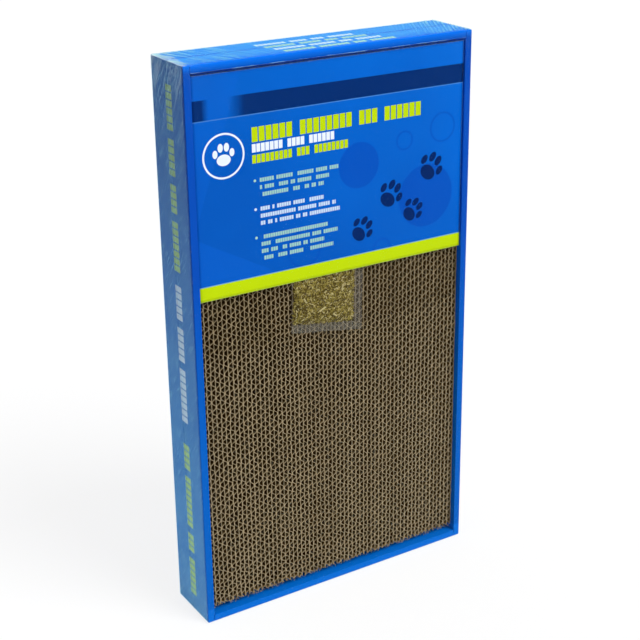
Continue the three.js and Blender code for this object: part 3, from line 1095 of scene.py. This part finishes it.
shrink_material = clear_film(
    "shrink film", milky=0.0, crease_size=0.16, crease_strength=0.2, metallic=0.85,
    tint=(0.42, 0.85, 0.98, 1.0), gathered=(0.8, 0.93, 0.97, 1.0), edge_tint=(0.5, 0.9, 1.0, 1.0))
sachet_material = clear_film(
    "sachet film", milky=0.004, crease_size=0.5, crease_strength=0.4, metallic=0.0,
    tint=(0.30, 0.26, 0.23, 1.0), gathered=(0.36, 0.33, 0.23, 1.0), edge_tint=PLAIN_WHITE)


def mark(mesh, name, values):
    """Stores a number at each point, such as how much the film gathers there."""
    attribute = mesh.attributes.new(name, "FLOAT", "POINT")
    attribute.data.foreach_set("value", np.asarray(values, dtype=np.float32).ravel())


# %% The two sheets of the sachet
across, up = np.meshgrid(np.linspace(0, 1, 70), np.linspace(0, 1, 96))
film_x, film_z = sachet_place(across, up)
height = herb_height(across, up)
crimp = 0.08 * np.sin(film_x * 3.1) * ((up * SACHET_HEIGHT < END_SEAL) & (up > 0))
crease = 0.3 * np.maximum(ripple(film_x, film_z * 0.5, 5.0, 4.0), 0) * np.clip(height, 0, 1)
film_y = HERB_BACK - POCKET_SLACK - height - crease - crimp - FILM_THICKNESS
mesh = closed_sheet("sachet_front_sheet", film_x, film_z, film_y, film_y + FILM_THICKNESS,
                    sachet_material)
seal = ((1 - across) * SACHET_WIDTH < RIGHT_SEAL) * 0.7 + (up * SACHET_HEIGHT < END_SEAL)
gathered = (np.minimum(seal, 1) * 0.26 + crease * 0.05).ravel()
mark(mesh, "gather", np.concatenate([gathered, gathered]))
add_piece("sachet_front_sheet", mesh, "sachet_body", ("sachet_front_film",))

film_y = BACK_FILM + 0.06 * ripple(film_x, film_z, 9.0, 3.0)
mesh = closed_sheet("sachet_back_sheet", film_x, film_z, film_y, film_y + FILM_THICKNESS,
                    sachet_material)
add_piece("sachet_back_sheet", mesh, "sachet_body", ("sachet_back_film",))

# %% [markdown]
# ## The shrink film
#
# Two webs of film meet at a seal round the edge. Each is an open box. Its grid has close
# lines near the edges, where the film folds, and wide ones between. The corners of the
# box are rounded by moving every point to a fixed distance from a smaller box. Near each
# corner the film gathers in a fan of folds. Over the well the front web is drawn in a
# little, and the back web lies on the tray's flat back.


# %% Grid lines, folds and fans
STAND_OFF = 0.52
SEAL_GAP = 0.03
ROUNDING = 1.5
DRAWN_IN = 0.55
FANS_TOP_LEFT, FANS_TOP_RIGHT, FANS_BELOW = 0.55, 0.5, 0.08


def close_at_ends(low, high, count):
    """Grid lines that lie closer together near both ends."""
    share = np.linspace(0, 1, count)
    return low + (high - low) * (share - 0.72 * np.sin(math.tau * share) / math.tau)


def film_web(name, sign, seed, body, node):
    """One web: sign is -1 for the front and 1 for the back."""
    half_x, half_y = half_width + STAND_OFF, half_depth + STAND_OFF
    low_z, high_z = tray_foot - STAND_OFF, tray_top + STAND_OFF
    xs = close_at_ends(-half_x, half_x, 112)
    zs = close_at_ends(low_z, high_z, 172)
    ys = SEAL_GAP + (half_y - SEAL_GAP) * np.linspace(0, 1, 18) ** 0.8
    cage = bmesh.new()

    def panel(first, second, place):
        grid = [[cage.verts.new(place(a, b)) for a in first] for b in second]
        for lower, upper in zip(grid, grid[1:]):
            for i in range(len(first) - 1):
                cage.faces.new((lower[i], lower[i + 1], upper[i + 1], upper[i]))

    panel(xs, zs, lambda x, z: (x, sign * half_y, z))
    for x in (-half_x, half_x):
        panel(ys, zs, lambda y, z: (x, sign * y, z))
    for z in (low_z, high_z):
        panel(xs, ys, lambda x, y: (x, sign * y, z))
    bmesh.ops.remove_doubles(cage, verts=cage.verts, dist=0.001)
    bmesh.ops.recalc_face_normals(cage, faces=cage.faces)

    gathers, crumples = [], []
    for vert in cage.verts:
        x, y, z = flat = vert.co.copy()
        core = Vector((max(-half_x + ROUNDING, min(half_x - ROUNDING, x)),
                       sign * min(half_y - ROUNDING, abs(y)),
                       max(low_z + ROUNDING, min(high_z - ROUNDING, z))))
        out = flat - core
        if out.length < 1e-6:
            out = Vector((0.0, sign, 0.0))
        out.normalize()
        vert.co = core + out * ROUNDING
        from_end = min(z - low_z, high_z - z)
        from_edge = sorted((half_x - abs(x), half_y - abs(y), from_end))[1]
        on_top = z > (low_z + high_z) / 2
        corner = Vector((math.copysign(half_x, x), sign * half_y, high_z if on_top else low_z))
        reach = flat - corner
        away = reach.length
        if abs(reach.y) < 0.01:
            angle = math.atan2(reach.z, reach.x)
        elif abs(reach.x) < 0.01:
            angle = math.atan2(reach.z, reach.y)
        else:
            angle = math.atan2(reach.y, reach.x)
        bend = 2.0 * noise.noise(Vector((away / 14, seed, corner.x + corner.z)))
        fan = abs(math.sin(angle * 17.0 + bend + seed)) ** 3
        strength = (FANS_TOP_RIGHT if x > 0 else FANS_TOP_LEFT) if on_top else FANS_BELOW
        near = strength * math.exp(-away / 20) * min(1.0, away / 9) * min(1.0, from_edge / 3)
        slow = noise.noise(Vector((x / 42, y / 42 + seed, z / 60)))
        small = noise.noise(Vector((x / 9 + seed, y / 9, z / 16)))
        lift = 0.12 * slow + 0.5 * near * fan + 0.1 * small * math.exp(-away / 60)
        on_face = sign < 0 and abs(y) > half_y - 0.01
        if on_face:
            from_wall = min(half_x - abs(x), from_end) - WALL - 1.0
            lift -= DRAWN_IN * min(1.0, max(0.0, from_wall) / 25.0)
        lip = max(0.0, 1.0 - (abs(y) - SEAL_GAP) / 1.4)
        lift = max(lift, -0.8 if on_face else -0.15) + 0.12 * lip
        vert.co += out * lift
        vert.co.z = max(vert.co.z, 0.03)
        # where the film gathers it turns milky; the pale gusset strip along the top-left edge is
        # partly milky film and partly a painted highlight of the fold
        gusset = 0.0
        if z > high_z - 0.01 and x < 0:
            gusset = max(0.0, 1 - (x + half_x) / (5.0 + 0.16 * (half_y + y))) ** 0.5
            gusset *= 0.7 + 0.9 * small
        milk_and_highlight = 0.3 * near * fan + 0.2 * strength * math.exp(-away / 7) + 0.8 * gusset
        gathers.append(min(1.0, milk_and_highlight))
        crumples.append(strength * math.exp(-away / (40 if x < 0 else 27)) * 2.2)

    mesh = bpy.data.meshes.new(name)
    cage.to_mesh(mesh)
    cage.free()
    mesh.transform(Matrix.Scale(MM, 4))
    mesh.materials.append(shrink_material)
    mesh.shade_smooth()
    mark(mesh, "gather", gathers)
    mark(mesh, "crumple", crumples)
    holder = new_object(name, mesh)
    wall = holder.modifiers.new("wall", "SOLIDIFY")
    wall.thickness = FILM_THICKNESS * MM
    wall.offset = -1.0
    add_piece(name, take_result(holder), body, (node,))


film_web("film_front_web", -1, 1.7, "film_body", "shrink_film_front")
film_web("film_back_web", 1, 5.3, "tray_body", "shrink_film_back")
